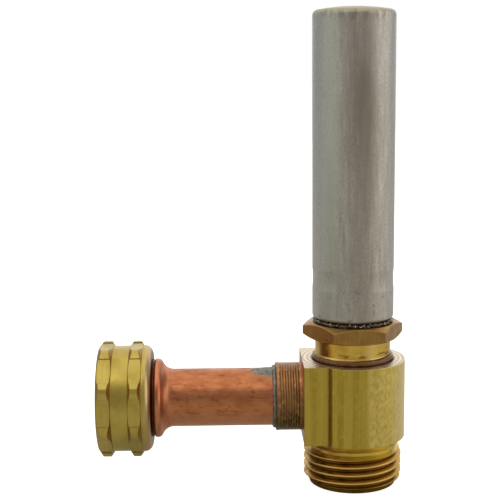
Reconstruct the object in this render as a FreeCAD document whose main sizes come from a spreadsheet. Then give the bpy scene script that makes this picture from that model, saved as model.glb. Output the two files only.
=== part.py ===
import FreeCAD, Part
import math
import os
import Sketcher

# Washing-machine tee with a piston water-hammer arrester.
#
# Frame: millimetres, +Z up along the main axis, origin at the centre of the outlet's end
# face.  The branch runs along -X.  Pieces that turn about the branch are drawn in a frame
# of their own, with X running outwards along the branch from the main axis, and then set
# down at the branch's height.

# ---------------------------------------------------------------- driving dimensions

SIZES = (
    # hose thread, 3/4-11.5 garden hose, used by the outlet and by the nut
    ("hose_thread_radius", 13.495, "male thread, half the major diameter"),
    ("hose_thread_pitch", 2.2087, "11.5 threads to the inch"),
    ("hose_thread_depth", 1.35, "crest to root"),
    ("hose_thread_flat", 0.34, "width of crest and root"),
    ("hose_thread_play", 0.125, "radial play between nut and outlet threads"),
    ("thread_proud", 0.12, "how far a thread cut starts outside the crest"),
    # outlet
    ("outlet_pilot_step", 0.245, "plain pilot inside the thread's root"),
    ("outlet_pilot_length", 0.9, "plain pilot at the outlet's end"),
    ("outlet_lead", 0.96, "length of the chamfer up to the first thread"),
    ("outlet_relief_step", 0.095, "undercut inside the thread's root"),
    ("outlet_thread_phase", 0.38, "groove's height where it crosses the +X side"),
    ("outlet_relief_width", 3.3, "undercut between thread and tee"),
    ("outlet_relief_slope", 0.46, "half the length of the slope into the undercut"),
    ("outlet_run_out", 0.2, "thread groove ends this far under the undercut"),
    ("outlet_wall", 2.9, "wall between pilot and waterway"),
    ("outlet_length", 13.3, "outlet below the tee's body"),
    ("outlet_cone", 2.0, "height of the turned cone under the tee's body"),
    ("bore_lead", 0.5, "chamfer at the mouths of the bores"),
    # tee: extruded brass, machined from the bar
    ("tee_shoulder", 0.905, "round side outside the hose thread or the port"),
    ("tee_land", 1.4525, "face above and below the boss"),
    ("block_margin", 1.9025, "block's side faces outside the boss"),
    ("block_recess", 0.35, "boss face inside the round side's radius"),
    ("block_land", 9.85, "where the block's side face ends"),
    ("block_hollow", 0.3, "shallow hollow beside the step"),
    ("step_foot", 7.6, "foot of the step up to the round side"),
    ("step_head", 6.6, "head of the step up to the round side"),
    ("branch_bore_radius", 6.2, "waterway from the branch into the tee"),
    ("boss_wall", 1.36, "wall of the boss around the tube socket"),
    ("boss_length", 7.35, "boss beyond the block's face"),
    ("boss_root", 2.0, "boss rooted inside the block"),
    ("boss_chamfer", 0.25, "edge of the boss"),
    ("ridge_pitch", 0.72, "turning marks on the boss"),
    ("ridge_depth", 0.14, "turning marks on the boss"),
    ("ridge_margin", 0.7, "plain strip between the block and the first mark"),
    ("socket_depth", 8.5, "depth of the tube socket in the boss"),
    # upper port of the tee and the adapter's shank
    ("shank_radius", 10.5, "1/2-14 pipe thread, outer radius at the neck"),
    ("shank_thread_pitch", 1.814, "14 threads to the inch"),
    ("shank_thread_depth", 0.85, "crest to root"),
    ("shank_thread_flat", 0.3, "width of crest and root"),
    ("shank_thread_phase", 0.494, "groove's height where it crosses the +X side"),
    ("shank_thread_above", 1.4, "thread showing above the tee's top face"),
    ("shank_engagement", 6.6, "length of shank inside the tee"),
    ("port_clearance", 0.05, "radial clearance of the shank in the port"),
    ("port_sink_width", 0.8, "countersink at the top face"),
    ("sealant_rise", 1.2, "how far sealant stands up the shank from the top face"),
    ("port_run_out", 2.0, "port below the shank's end"),
    ("sealant_gap", 0.02, "gap between sealant and thread crests"),
    # hexagon of the adapter
    ("neck_length", 5.95, "neck between the tee and the hexagon"),
    ("neck_step", 0.22, "neck inside the thread's crests"),
    ("neck_slope", 0.38, "height of the slope from the crests to the neck"),
    ("hex_height", 4.5, "thickness of the hexagon"),
    ("hex_shoulder", 0.9, "flats of the hexagon outside the shell or the shank"),
    ("hex_turn", 3.4, "degrees the hexagon is tightened past the tee's front"),
    ("hex_chamfer", 1.15, "height of the corner chamfers"),
    ("hex_rim", 0.35, "chamfered circle inside the flats"),
    ("adapter_wall", 1.5, "wall of the adapter at its O-ring groove"),
    # spigot of the adapter
    ("spigot_height", 16.1, "spigot above the hexagon"),
    ("spigot_fit", 0.05, "radial clearance of spigot in shell"),
    ("mouth_clearance", 0.2, "clearance of the shell's rolled mouth on its neck"),
    ("mouth_neck_height", 2.5, "neck under the rolled mouth, above the hexagon"),
    ("spigot_ring_height", 6.6, "spigot O-ring above the hexagon"),
    # pressure chamber: drawn shell with a closed end
    ("shell_radius", 11.1, "outside of the shell, 7/8 inch"),
    ("shell_wall", 0.9, "wall of the shell"),
    ("shell_lift", 1.05, "gap for sealant between hexagon and shell"),
    ("sealant_inset", 0.14, "sealant's rim inside the shell's outside"),
    ("shell_length", 82.75, "mouth to the shoulder of the dome"),
    ("shell_mouth_roll", 1.1, "outside radius of the rolled mouth"),
    ("shell_corner", 1.6, "outside radius of the closed end's corner"),
    ("shell_dome", 0.8, "rise of the dome"),
    ("crimp_rise", 11.15, "middle of the rolled crimp above the shell's mouth"),
    ("crimp_width", 5.6, "width of the rolled crimp"),
    ("crimp_depth", 0.16, "depth of the rolled crimp"),
    ("crimp_room", 0.1, "room under the crimp in the spigot's groove"),
    # O-rings
    ("ring_section", 1.6, "section diameter of the O-rings"),
    ("ring_room", 0.03, "room left around an O-ring"),
    ("ring_groove_width", 2.1, "width of an O-ring groove"),
    # piston
    ("piston_length", 14.0, "length of the piston"),
    ("piston_fit", 0.08, "radial clearance of piston in shell"),
    ("piston_rest_gap", 0.3, "gap between resting piston and spigot"),
    ("piston_wall", 1.9, "wall between the cup and the O-ring grooves"),
    ("piston_crown", 6.0, "thickness of the piston's closed end"),
    ("piston_ring_inset", 3.2, "O-ring from each end of the piston"),
    ("piston_edge", 0.6, "chamfer at the piston's ends"),
    # branch tube
    ("tube_radius", 7.9375, "5/8 inch tube"),
    ("tube_wall", 1.02, "wall of the tube"),
    ("socket_clearance", 0.1, "solder film between tube and socket"),
    ("socket_end_gap", 0.1, "gap between the tube's end and the socket's floor"),
    ("solder_leg", 1.25, "solder fillet, along the tube"),
    ("flare_start", 49.4, "where the tube begins to open"),
    ("flare_slope", 1.56, "length of the flare for each millimetre it opens"),
    ("bead_rise", 0.9, "height of the bead's flank above the flare"),
    ("bead_flank", 1.3, "length of the bead's flank"),
    ("bead_back", 0.9, "back of the bead, down to the collar"),
    ("bead_step", 0.4, "crest of the bead above the collar"),
    ("collar_length", 4.3, "collar that the nut turns on"),
    ("collar_wall", 1.2, "wall of the collar"),
    ("flange_lip", 1.6, "sealing flange above the collar"),
    ("flange_thickness", 1.35, "sealing flange"),
    ("flange_edge", 0.3, "chamfer of the sealing flange"),
    # swivel nut
    ("nut_rest_gap", 0.6, "gap between the resting nut and the bead"),
    ("nut_length", 14.5, "overall length of the nut"),
    ("nut_rear_wall", 2.4, "wall that pulls against the flange"),
    ("nut_hole_clearance", 0.35, "radial clearance of the nut on the collar"),
    ("nut_relief_step", 0.03, "room for the washer, outside the thread's root"),
    ("nut_wall", 0.88, "wall between thread root and turned groove"),
    ("nut_shoulder_step", 0.1, "rear shoulder above the turned groove"),
    ("nut_flat_step", 0.45, "flats of the octagon above the turned groove"),
    ("nut_lug_step", 0.24, "relief of the flats between the corner lugs"),
    ("nut_lug_angle", 8.4, "degrees from each corner to the relief"),
    ("nut_band_step", 1.45, "turned outside of the bands above the groove"),
    ("nut_band_place", 3.25, "rear band from the nut's rear face"),
    ("nut_rear_band", 1.85, "width of the rear band's crest"),
    ("nut_front_band", 2.05, "width of the front band's crest"),
    ("nut_band_flank", 0.9, "length of a band's sloping flank"),
    ("nut_mouth_chamfer", 1.1, "outside chamfer at the mouth, along the nut"),
    ("nut_mouth_drop", 1.6, "outside chamfer at the mouth, across the nut"),
    ("nut_shoulder_round", 2.1, "rounding of the rear shoulder"),
    ("nut_lip_clearance", 0.13, "plain lead-in outside the thread's root"),
    ("nut_lip_length", 0.9, "plain lead-in at the mouth"),
    ("nut_thread_lead", 0.6, "chamfer at the thread's inner end"),
    # hose washer
    ("washer_grip", 0.5, "washer's edge held behind the thread's crest"),
    ("washer_width", 4.75, "ring width"),
    ("washer_thickness", 2.6, "thickness"),
    ("washer_gap", 0.1, "gap to the flange at rest, and to the thread"),
    ("washer_edge", 0.3, "rounding of the washer's rim"),
    ("flange_margin", 0.75, "washer's rim beyond the flange"),
)

doc = FreeCAD.newDocument("hammer_arrester_tee")
sheet = doc.addObject("Spreadsheet::Sheet", "sizes")


class Size:
    """A length with its number and the expression that binds it to the sheet."""

    def __init__(self, number, text):
        self.number = float(number)
        self.text = text

    def _combine(self, other, sign, number):
        other_text = other.text if isinstance(other, Size) else repr(float(other))
        return Size(number, f"({self.text} {sign} {other_text})")

    def __add__(self, other):
        return self._combine(other, "+", self.number + plain(other))

    def __sub__(self, other):
        return self._combine(other, "-", self.number - plain(other))

    def __mul__(self, other):
        return self._combine(other, "*", self.number * plain(other))

    def __truediv__(self, other):
        return self._combine(other, "/", self.number / plain(other))

    def __neg__(self):
        return Size(-self.number, f"(0 - {self.text})")

    def hypotenuse(self, other):
        """Square root of the sum of both squares."""
        text = f"sqrt({self.text} ^ 2 + {other.text} ^ 2)"
        return Size(math.hypot(self.number, other.number), text)

    def leg(self, other):
        """The other leg of a right triangle with this size as its long side."""
        text = f"sqrt({self.text} ^ 2 - {other.text} ^ 2)"
        return Size(math.sqrt(self.number ** 2 - other.number ** 2), text)

    def smaller(self, other):
        text = f"min({self.text}; {other.text})"
        return Size(min(self.number, other.number), text)

    def larger(self, other):
        text = f"max({self.text}; {other.text})"
        return Size(max(self.number, other.number), text)


def plain(value):
    return value.number if isinstance(value, Size) else float(value)


def fill_sheet():
    """Write every driving dimension into the sheet and return them as Sizes."""
    sizes = {}
    for row, (alias, value, note) in enumerate(SIZES, start=1):
        sheet.set(f"A{row}", alias)
        sheet.set(f"B{row}", repr(float(value)))
        sheet.setAlias(f"B{row}", alias)
        sheet.set(f"C{row}", note)
        sizes[alias] = Size(value, f"sizes.{alias}")
    doc.recompute()
    return sizes


class Named:
    """The driving dimensions, reached by name."""

    def __init__(self, sizes):
        self.__dict__.update(sizes)


S = Named(fill_sheet())
ZERO = Size(0, "0")
MARGIN = Size(1, "1")  # how far a cut or a root runs past the surface it meets


# ---------------------------------------------------------------- drawing helpers

def arc(across, up, radius, turn):
    """An outline point reached by an arc: turn is +1 to the left, -1 to the right."""
    return (across, up, radius, turn)


def bow(run, rise, openness=0.85):
    """Radius of an arc across a step of run by rise: at 0.5 it is a half circle."""
    return run.hypotenuse(rise) * openness


def add_arc(sketch, start, end, radius, turn):
    """Add the shorter arc from start to end and return (index, start pos, end pos)."""
    chord = end - start
    middle = start + chord * 0.5
    side = FreeCAD.Vector(-chord.y, chord.x, 0).normalize() * turn
    centre = middle + side * math.sqrt(max(radius ** 2 - chord.Length ** 2 / 4, 0))
    first, last = (start, end) if turn > 0 else (end, start)
    first_angle = math.atan2(first.y - centre.y, first.x - centre.x)
    last_angle = math.atan2(last.y - centre.y, last.x - centre.x)
    circle = Part.Circle(centre, FreeCAD.Vector(0, 0, 1), radius)
    index = sketch.addGeometry(Part.ArcOfCircle(circle, first_angle, last_angle), False)
    return (index, 1, 2) if turn > 0 else (index, 2, 1)


def bind(sketch, kind, arguments, size):
    """Add a dimension to a sketch and tie it to the sheet."""
    number = sketch.addConstraint(Sketcher.Constraint(kind, *arguments, size.number))
    sketch.setExpression(f"Constraints[{number}]", size.text)


def pin_down(sketch, geometry, position, across, up):
    """Fix one point of a sketch at its two sizes."""
    if across.number == 0:
        sketch.addConstraint(Sketcher.Constraint("PointOnObject", geometry, position, -2))
    else:
        bind(sketch, "DistanceX", (-1, 1, geometry, position), across)
    if up.number == 0:
        sketch.addConstraint(Sketcher.Constraint("PointOnObject", geometry, position, -1))
    else:
        bind(sketch, "DistanceY", (-1, 1, geometry, position), up)


def draw_outline(sketch, points):
    """Draw a closed outline whose corners are (across, up) pairs or arc() entries."""
    corners = [FreeCAD.Vector(p[0].number, p[1].number, 0) for p in points]
    pieces = []
    for index, point in enumerate(points):
        start = corners[index - 1]
        end = corners[index]
        if len(point) == 4:
            pieces.append(add_arc(sketch, start, end, point[2].number, point[3]))
        else:
            line = sketch.addGeometry(Part.LineSegment(start, end), False)
            pieces.append((line, 1, 2))
    for index, point in enumerate(points):
        geometry, _, end_position = pieces[index]
        following, start_position, _ = pieces[(index + 1) % len(pieces)]
        join = Sketcher.Constraint("Coincident", geometry, end_position, following, start_position)
        sketch.addConstraint(join)
        pin_down(sketch, geometry, end_position, point[0], point[1])
        if len(point) == 4:
            bind(sketch, "Radius", (geometry,), point[2])


def new_body(name):
    body = doc.addObject("PartDesign::Body", name)
    body.Label = name
    return body


def new_sketch(body, name, plane, offset=None, turn=None):
    """A sketch on one of the body's own origin planes, set off along its normal."""
    sketch = body.newObject("Sketcher::SketchObject", name)
    support = [p for p in body.Origin.OriginFeatures if p.Role == plane][0]
    sketch.AttachmentSupport = [(support, "")]
    sketch.MapMode = "FlatFace"
    if offset is not None:
        sketch.setExpression("AttachmentOffset.Base.z", offset.text)
    if turn is not None:
        rotation = FreeCAD.Rotation(FreeCAD.Vector(0, 0, 1), turn.number)
        height = plain(offset) if offset is not None else 0.0
        sketch.AttachmentOffset = FreeCAD.Placement(FreeCAD.Vector(0, 0, height), rotation)
        sketch.setExpression("AttachmentOffset.Rotation.Angle", f"{turn.text} * 1 deg")
    return sketch


def turned(body, name, points, kind="Revolution", axis="V_Axis"):
    """Revolve an outline about one of its sketch's axes, adding or cutting."""
    sketch = new_sketch(body, name + "_outline", "XZ_Plane")
    draw_outline(sketch, points)
    feature = body.newObject(f"PartDesign::{kind}", name)
    feature.Profile = sketch
    feature.ReferenceAxis = (sketch, [axis])
    feature.Angle = 360


def extruded(body, name, points, plane, start, length, turn=None):
    """Extrude an outline along its plane's normal from start."""
    sketch = new_sketch(body, name + "_outline", plane, start, turn)
    draw_outline(sketch, points)
    feature = body.newObject("PartDesign::Pad", name)
    feature.Profile = sketch
    feature.setExpression("Length", length.text)


def thread_cut(body, name, thread, inwards, start, end, along):
    """Cut a helical groove whose middle runs from start to end.

    thread is (crest radius, pitch, depth, flat); inwards is -1 for a male thread, cut
    from outside towards the axis, and +1 for a female one.
    """
    crest, pitch, depth, flat = thread
    floor_half = flat / 2
    flank = pitch / 2 - flat
    mouth = crest - S.thread_proud * inwards
    floor = crest + depth * inwards
    mouth_half = floor_half + flank + flank * S.thread_proud / depth
    sketch = new_sketch(body, name + "_outline", "XZ_Plane")
    corners = [(mouth, start - mouth_half), (floor, start - floor_half),
               (floor, start + floor_half), (mouth, start + mouth_half)]
    if along == "H_Axis":
        corners = [(up, across) for across, up in corners]
    draw_outline(sketch, corners)
    cut = body.newObject("PartDesign::SubtractiveHelix", name)
    cut.Profile = sketch
    cut.ReferenceAxis = (sketch, [along])
    cut.Mode = 0
    cut.setExpression("Pitch", pitch.text)
    cut.setExpression("Height", (end - start).text)


def lay_on_branch(body):
    """Set a body drawn along the branch down on the branch's axis."""
    half_turn = FreeCAD.Rotation(FreeCAD.Vector(0, 0, 1), 180)
    height = FreeCAD.Vector(0, 0, branch_height.number)
    body.Placement = FreeCAD.Placement(height, half_turn)
    body.setExpression("Placement.Base.z", branch_height.text)


# ---------------------------------------------------------------- sizes worked out once

thread_root = S.hose_thread_radius - S.hose_thread_depth
pilot_radius = thread_root - S.outlet_pilot_step
outlet_bore = pilot_radius - S.outlet_wall
relief_radius = thread_root - S.outlet_relief_step
thread_top = S.outlet_length - S.outlet_relief_width

socket_radius = S.tube_radius + S.socket_clearance
boss_radius = socket_radius + S.boss_wall
port_radius = S.shank_radius + S.port_clearance
port_sink_radius = port_radius + S.port_sink_width

tee_radius = S.hose_thread_radius.larger(port_sink_radius) + S.tee_shoulder
tee_bottom = S.outlet_length
branch_height = tee_bottom + S.tee_land + boss_radius
tee_top = branch_height + boss_radius + S.tee_land
block_half_width = boss_radius + S.block_margin
block_face = tee_radius - S.block_recess
boss_end = block_face + S.boss_length
socket_floor = boss_end - S.socket_depth
tube_end = socket_floor + S.socket_end_gap
tube_bore = S.tube_radius - S.tube_wall

shell_bore = S.shell_radius - S.shell_wall
ring_middle = shell_bore - S.ring_room - S.ring_section / 2
ring_groove_floor = ring_middle - S.ring_section / 2 - S.ring_room

shank_root = S.shank_radius - S.shank_thread_depth
shank_end = tee_top - S.shank_engagement
shank_top = tee_top + S.shank_thread_above
neck_radius = S.shank_radius - S.neck_step
port_floor = shank_end - S.port_run_out

hex_bottom = tee_top + S.neck_length
hex_top = hex_bottom + S.hex_height
hex_apothem = S.shell_radius.larger(S.shank_radius) + S.hex_shoulder
hex_corner_radius = hex_apothem / math.cos(math.pi / 6)
adapter_bore = ring_groove_floor.smaller(shank_root) - S.adapter_wall

shell_mouth = hex_top + S.shell_lift
shell_shoulder = shell_mouth + S.shell_length
mouth_radius = S.shell_radius - S.shell_mouth_roll
mouth_neck_radius = mouth_radius - S.mouth_clearance
crimp_low = shell_mouth + S.crimp_rise - S.crimp_width / 2
crimp_high = crimp_low + S.crimp_width

spigot_radius = shell_bore - S.spigot_fit
spigot_top = hex_top + S.spigot_height
spigot_ring_place = hex_top + S.spigot_ring_height

piston_bottom = spigot_top + S.piston_rest_gap
piston_top = piston_bottom + S.piston_length
piston_radius = shell_bore - S.piston_fit
piston_ring_low = piston_bottom + S.piston_ring_inset
piston_ring_high = piston_top - S.piston_ring_inset

nut_thread_minor = thread_root + S.hose_thread_play
nut_thread_major = S.hose_thread_radius + S.hose_thread_play
washer_radius = nut_thread_minor + S.washer_grip
flange_radius = washer_radius - S.flange_margin
collar_radius = flange_radius - S.flange_lip
collar_bore = collar_radius - S.collar_wall
bead_radius = collar_radius + S.bead_step

flare_radius = bead_radius - S.bead_rise
flare_length = (flare_radius - S.tube_radius) * S.flare_slope
flare_end = S.flare_start + flare_length
bead_place = flare_end + S.bead_flank
collar_start = bead_place + S.bead_back
flange_back = collar_start + S.collar_length
flange_face = flange_back + S.flange_thickness
washer_back = flange_face + S.washer_gap
washer_front = washer_back + S.washer_thickness

nut_back = collar_start + S.nut_rest_gap
nut_mouth = nut_back + S.nut_length
nut_cavity = nut_back + S.nut_rear_wall
nut_lip = nut_mouth - S.nut_lip_length
nut_lip_radius = nut_thread_major + S.nut_lip_clearance
nut_groove_radius = nut_thread_major + S.nut_wall
nut_apothem = nut_groove_radius + S.nut_flat_step
nut_corner_radius = nut_apothem / math.cos(math.pi / 8)


# ---------------------------------------------------------------- tee

def tee_outline():
    """The extrusion: a round side and a flat-sided block, with a step between them."""
    head = tee_radius.leg(S.step_head)
    hollow = block_half_width - S.block_hollow
    return [
        (-block_face, block_half_width),
        (-block_face, -block_half_width),
        (-S.block_land, -block_half_width),
        (-S.step_foot, -hollow),
        (-S.step_head, -head),
        arc(tee_radius, ZERO, tee_radius, 1),
        arc(-S.step_head, head, tee_radius, 1),
        (-S.step_foot, hollow),
        (-S.block_land, block_half_width),
    ]


def outlet_outline():
    """The outlet's spigot before its thread is cut, rooted in the tee's body."""
    return [
        (outlet_bore, ZERO),
        (pilot_radius, ZERO),
        (pilot_radius, S.outlet_pilot_length),
        (S.hose_thread_radius, S.outlet_pilot_length + S.outlet_lead),
        (S.hose_thread_radius, thread_top - S.outlet_relief_slope),
        (relief_radius, thread_top + S.outlet_relief_slope),
        (relief_radius, tee_bottom + MARGIN),
        (outlet_bore, tee_bottom + MARGIN),
    ]


def boss_outline():
    """The boss with its fine turning marks, drawn along the branch."""
    inner = S.branch_bore_radius
    root = block_face - S.boss_root
    marks_start = block_face + S.ridge_margin
    marks_room = boss_end - S.boss_chamfer - S.ridge_pitch / 2 - marks_start
    count = int(marks_room.number / S.ridge_pitch.number)
    points = [(root, inner), (root, boss_radius), (marks_start, boss_radius)]
    for mark in range(count):
        place = marks_start + S.ridge_pitch * mark
        points.append((place + S.ridge_pitch / 2, boss_radius - S.ridge_depth))
        points.append((place + S.ridge_pitch, boss_radius))
    points += [
        (boss_end - S.boss_chamfer, boss_radius),
        (boss_end, boss_radius - S.boss_chamfer),
        (boss_end, inner),
    ]
    return points


def turned_on_branch(body, name, points, kind):
    """Revolve about the branch axis inside the tee, which stands in the main frame."""
    sketch = new_sketch(body, name + "_outline", "XZ_Plane")
    draw_outline(sketch, [(-along, branch_height + out) for along, out in points])
    near = FreeCAD.Vector(-block_face.number, branch_height.number, 0)
    far = FreeCAD.Vector(-boss_end.number, branch_height.number, 0)
    axis = sketch.addGeometry(Part.LineSegment(near, far), True)
    pin_down(sketch, axis, 1, -block_face, branch_height)
    pin_down(sketch, axis, 2, -boss_end, branch_height)
    feature = body.newObject(f"PartDesign::{kind}", name)
    feature.Profile = sketch
    feature.ReferenceAxis = (sketch, ["Axis0"])
    feature.Angle = 360


def make_tee():
    body = new_body("tee_body")
    cone_foot = tee_bottom - S.outlet_cone
    outside = block_face.hypotenuse(block_half_width) + MARGIN
    extruded(body, "tee_extrusion", tee_outline(), "XY_Plane", cone_foot,
             tee_top - cone_foot)
    turned(body, "outlet_cone", [
        (relief_radius, cone_foot - MARGIN),
        (outside, cone_foot - MARGIN),
        (outside, tee_bottom),
        (tee_radius, tee_bottom),
        (relief_radius, cone_foot),
    ], "Groove")
    turned(body, "outlet_spigot", outlet_outline())
    turned_on_branch(body, "branch_boss", boss_outline(), "Revolution")
    turned(body, "main_bore", [
        (ZERO, -MARGIN),
        (outlet_bore + S.bore_lead + MARGIN, -MARGIN),
        (outlet_bore, S.bore_lead),
        (outlet_bore, port_floor),
        (port_radius, port_floor),
        (port_radius, tee_top - S.port_sink_width),
        (port_sink_radius + MARGIN, tee_top + MARGIN),
        (ZERO, tee_top + MARGIN),
    ], "Groove")
    turned_on_branch(body, "branch_bore", [
        (ZERO, ZERO),
        (ZERO, S.branch_bore_radius),
        (socket_floor, S.branch_bore_radius),
        (socket_floor, socket_radius),
        (boss_end + MARGIN, socket_radius),
        (boss_end + MARGIN, ZERO),
    ], "Groove")
    # the male hose thread starts below the pilot's chamfer and ends under the undercut
    thread = (S.hose_thread_radius, S.hose_thread_pitch, S.hose_thread_depth,
              S.hose_thread_flat)
    start = S.outlet_thread_phase - S.hose_thread_pitch
    end = thread_top - S.outlet_run_out
    thread_cut(body, "hose_thread", thread, -1, start, end, "V_Axis")
    return body


# ---------------------------------------------------------------- hexagon adapter

def polygon(corner_radius, count):
    """Corners of a regular polygon, the first one on the X axis."""
    points = []
    for index in range(count):
        angle = math.tau * index / count
        points.append((corner_radius * math.cos(angle), corner_radius * math.sin(angle)))
    return points


def adapter_outline():
    """Shank, neck and spigot, from the waterway outwards and up."""
    waist = hex_bottom + S.hex_height / 2
    neck_top = hex_top + S.mouth_neck_height
    ring_low = spigot_ring_place - S.ring_groove_width / 2
    ring_high = ring_low + S.ring_groove_width
    crimp_slope = S.crimp_depth + S.crimp_room
    crimp_floor = spigot_radius - crimp_slope
    return [
        (adapter_bore, shank_end),
        (shank_root, shank_end),
        (S.shank_radius, shank_end + S.shank_thread_depth),
        (S.shank_radius, shank_top),
        (neck_radius, shank_top + S.neck_slope),
        (neck_radius, waist),
        (mouth_neck_radius, waist),
        (mouth_neck_radius, neck_top),
        (spigot_radius, neck_top + spigot_radius - mouth_neck_radius),
        (spigot_radius, ring_low),
        (ring_groove_floor, ring_low),
        (ring_groove_floor, ring_high),
        (spigot_radius, ring_high),
        (spigot_radius, crimp_low - crimp_slope),
        (crimp_floor, crimp_low),
        (crimp_floor, crimp_high),
        (spigot_radius, crimp_high + crimp_slope),
        (spigot_radius, spigot_top - S.bore_lead),
        (spigot_radius - S.bore_lead, spigot_top),
        (adapter_bore + S.bore_lead, spigot_top),
        (adapter_bore, spigot_top - S.bore_lead),
    ]


def make_adapter():
    body = new_body("hex_adapter")
    turned(body, "adapter_turning", adapter_outline())
    extruded(body, "hexagon", polygon(hex_corner_radius, 6), "XY_Plane", hex_bottom,
             S.hex_height, S.hex_turn)
    outside = hex_corner_radius + MARGIN
    rim = hex_apothem - S.hex_rim
    drop = S.hex_chamfer * (outside - rim) / (hex_corner_radius - rim)
    turned(body, "upper_chamfer", [
        (rim, hex_top),
        (outside, hex_top - drop),
        (outside, hex_top + MARGIN),
        (rim, hex_top + MARGIN),
    ], "Groove")
    turned(body, "lower_chamfer", [
        (rim, hex_bottom),
        (rim, hex_bottom - MARGIN),
        (outside, hex_bottom - MARGIN),
        (outside, hex_bottom + drop),
    ], "Groove")
    turned(body, "adapter_bore", [
        (ZERO, shank_end - MARGIN),
        (adapter_bore, shank_end - MARGIN),
        (adapter_bore, spigot_top + MARGIN),
        (ZERO, spigot_top + MARGIN),
    ], "Groove")
    # the pipe thread's last turns show above the tee
    thread = (S.shank_radius, S.shank_thread_pitch, S.shank_thread_depth,
              S.shank_thread_flat)
    start = shank_end + S.shank_thread_phase - S.shank_thread_pitch
    end = shank_top + S.neck_step
    thread_cut(body, "shank_thread", thread, -1, start, end, "V_Axis")
    return body


# ---------------------------------------------------------------- chamber and its inside

def shell_outline():
    """A drawn shell: rolled mouth, rolled crimp and domed closed end."""
    outer = S.shell_radius
    inner_roll = S.shell_mouth_roll - S.shell_wall
    depth = S.crimp_depth
    half = S.crimp_width / 2
    crimp_radius = (half * half + depth * depth) / (depth * 2)
    dome = S.shell_dome
    rim = outer - S.shell_corner
    dome_radius = (rim * rim + dome * dome) / (dome * 2)
    inner_corner = S.shell_corner - S.shell_wall
    inner_rim = shell_bore - inner_corner
    inner_dome = (inner_rim * inner_rim + dome * dome) / (dome * 2)
    ceiling = shell_shoulder - S.shell_wall
    return [
        (mouth_radius, shell_mouth),
        arc(outer, shell_mouth + S.shell_mouth_roll, S.shell_mouth_roll, 1),
        (outer, crimp_low),
        arc(outer, crimp_high, crimp_radius, -1),
        (outer, shell_shoulder - S.shell_corner),
        arc(rim, shell_shoulder, S.shell_corner, 1),
        arc(ZERO, shell_shoulder + dome, dome_radius, 1),
        (ZERO, ceiling + dome),
        arc(inner_rim, ceiling, inner_dome, -1),
        arc(shell_bore, ceiling - inner_corner, inner_corner, -1),
        (shell_bore, crimp_high),
        arc(shell_bore, crimp_low, crimp_radius, 1),
        (shell_bore, shell_mouth + S.shell_mouth_roll),
        arc(shell_bore - inner_roll, shell_mouth + S.shell_wall, inner_roll, -1),
    ]


def make_shell():
    body = new_body("chamber_shell")
    turned(body, "shell_drawing", shell_outline())
    return body


def make_piston():
    body = new_body("piston")
    cup_radius = ring_groove_floor - S.piston_wall
    crown = piston_top - S.piston_crown
    points = [
        (ZERO, crown),
        (cup_radius, crown),
        (cup_radius, piston_bottom),
        (piston_radius - S.piston_edge, piston_bottom),
        (piston_radius, piston_bottom + S.piston_edge),
    ]
    for place in (piston_ring_low, piston_ring_high):
        low = place - S.ring_groove_width / 2
        high = place + S.ring_groove_width / 2
        points += [(piston_radius, low), (ring_groove_floor, low),
                   (ring_groove_floor, high), (piston_radius, high)]
    points += [
        (piston_radius, piston_top - S.piston_edge),
        (piston_radius - S.piston_edge, piston_top),
        (ZERO, piston_top),
    ]
    turned(body, "piston_turning", points)
    return body


def make_oring(name, place):
    """An O-ring of the common section, centred on the main axis at a height."""
    body = new_body(name)
    sketch = new_sketch(body, name + "_section", "XZ_Plane")
    centre = FreeCAD.Vector(ring_middle.number, place.number, 0)
    section = Part.Circle(centre, FreeCAD.Vector(0, 0, 1), S.ring_section.number / 2)
    index = sketch.addGeometry(section, False)
    pin_down(sketch, index, 3, ring_middle, place)
    bind(sketch, "Radius", (index,), S.ring_section / 2)
    feature = body.newObject("PartDesign::Revolution", name + "_ring")
    feature.Profile = sketch
    feature.ReferenceAxis = (sketch, ["V_Axis"])
    feature.Angle = 360
    return body


def make_chamber_sealant():
    """The bead of sealant squeezed out between the shell's mouth and the hexagon."""
    body = new_body("chamber_sealant")
    outer = S.shell_radius - S.sealant_inset
    top = shell_mouth - S.sealant_gap
    turned(body, "sealant_bead", [
        (mouth_neck_radius, hex_top),
        (outer, hex_top),
        arc(mouth_radius, top, bow(outer - mouth_radius, top - hex_top), 1),
        (mouth_neck_radius, top),
    ])
    return body


def make_thread_sealant():
    """Sealant that fills the countersink and stands a little way up the shank."""
    body = new_body("thread_sealant")
    foot = tee_top - S.port_sink_width
    inner = S.shank_radius + S.sealant_gap
    turned(body, "sealant_fillet", [
        (inner, foot),
        (port_radius, foot),
        (port_sink_radius, tee_top),
        (inner, tee_top + S.sealant_rise),
    ])
    return body


# ---------------------------------------------------------------- branch

def make_tube():
    """The tube: flared and rolled into a bead, a collar and a sealing flange."""
    body = new_body("branch_tube")
    rise = flare_radius - S.tube_radius
    flare_bend = (rise * rise + flare_length * flare_length) / (rise * 2)
    inner_end = bead_place + S.bead_step
    inner_bend = bow(inner_end - S.flare_start, collar_bore - tube_bore, openness=1.4)
    turned(body, "tube_turning", [
        (tube_end, tube_bore),
        (tube_end, S.tube_radius),
        (S.flare_start, S.tube_radius),
        arc(flare_end, flare_radius, flare_bend, 1),
        arc(bead_place, bead_radius, bow(S.bead_flank, S.bead_rise), -1),
        arc(collar_start, collar_radius, bow(S.bead_back, S.bead_step), -1),
        (flange_back, collar_radius),
        (flange_back, flange_radius - S.flange_edge),
        (flange_back + S.flange_edge, flange_radius),
        (flange_face - S.flange_edge, flange_radius),
        (flange_face, flange_radius - S.flange_edge),
        (flange_face, collar_bore),
        (inner_end, collar_bore),
        arc(S.flare_start, tube_bore, inner_bend, -1),
    ], axis="H_Axis")
    lay_on_branch(body)
    return body


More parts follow.
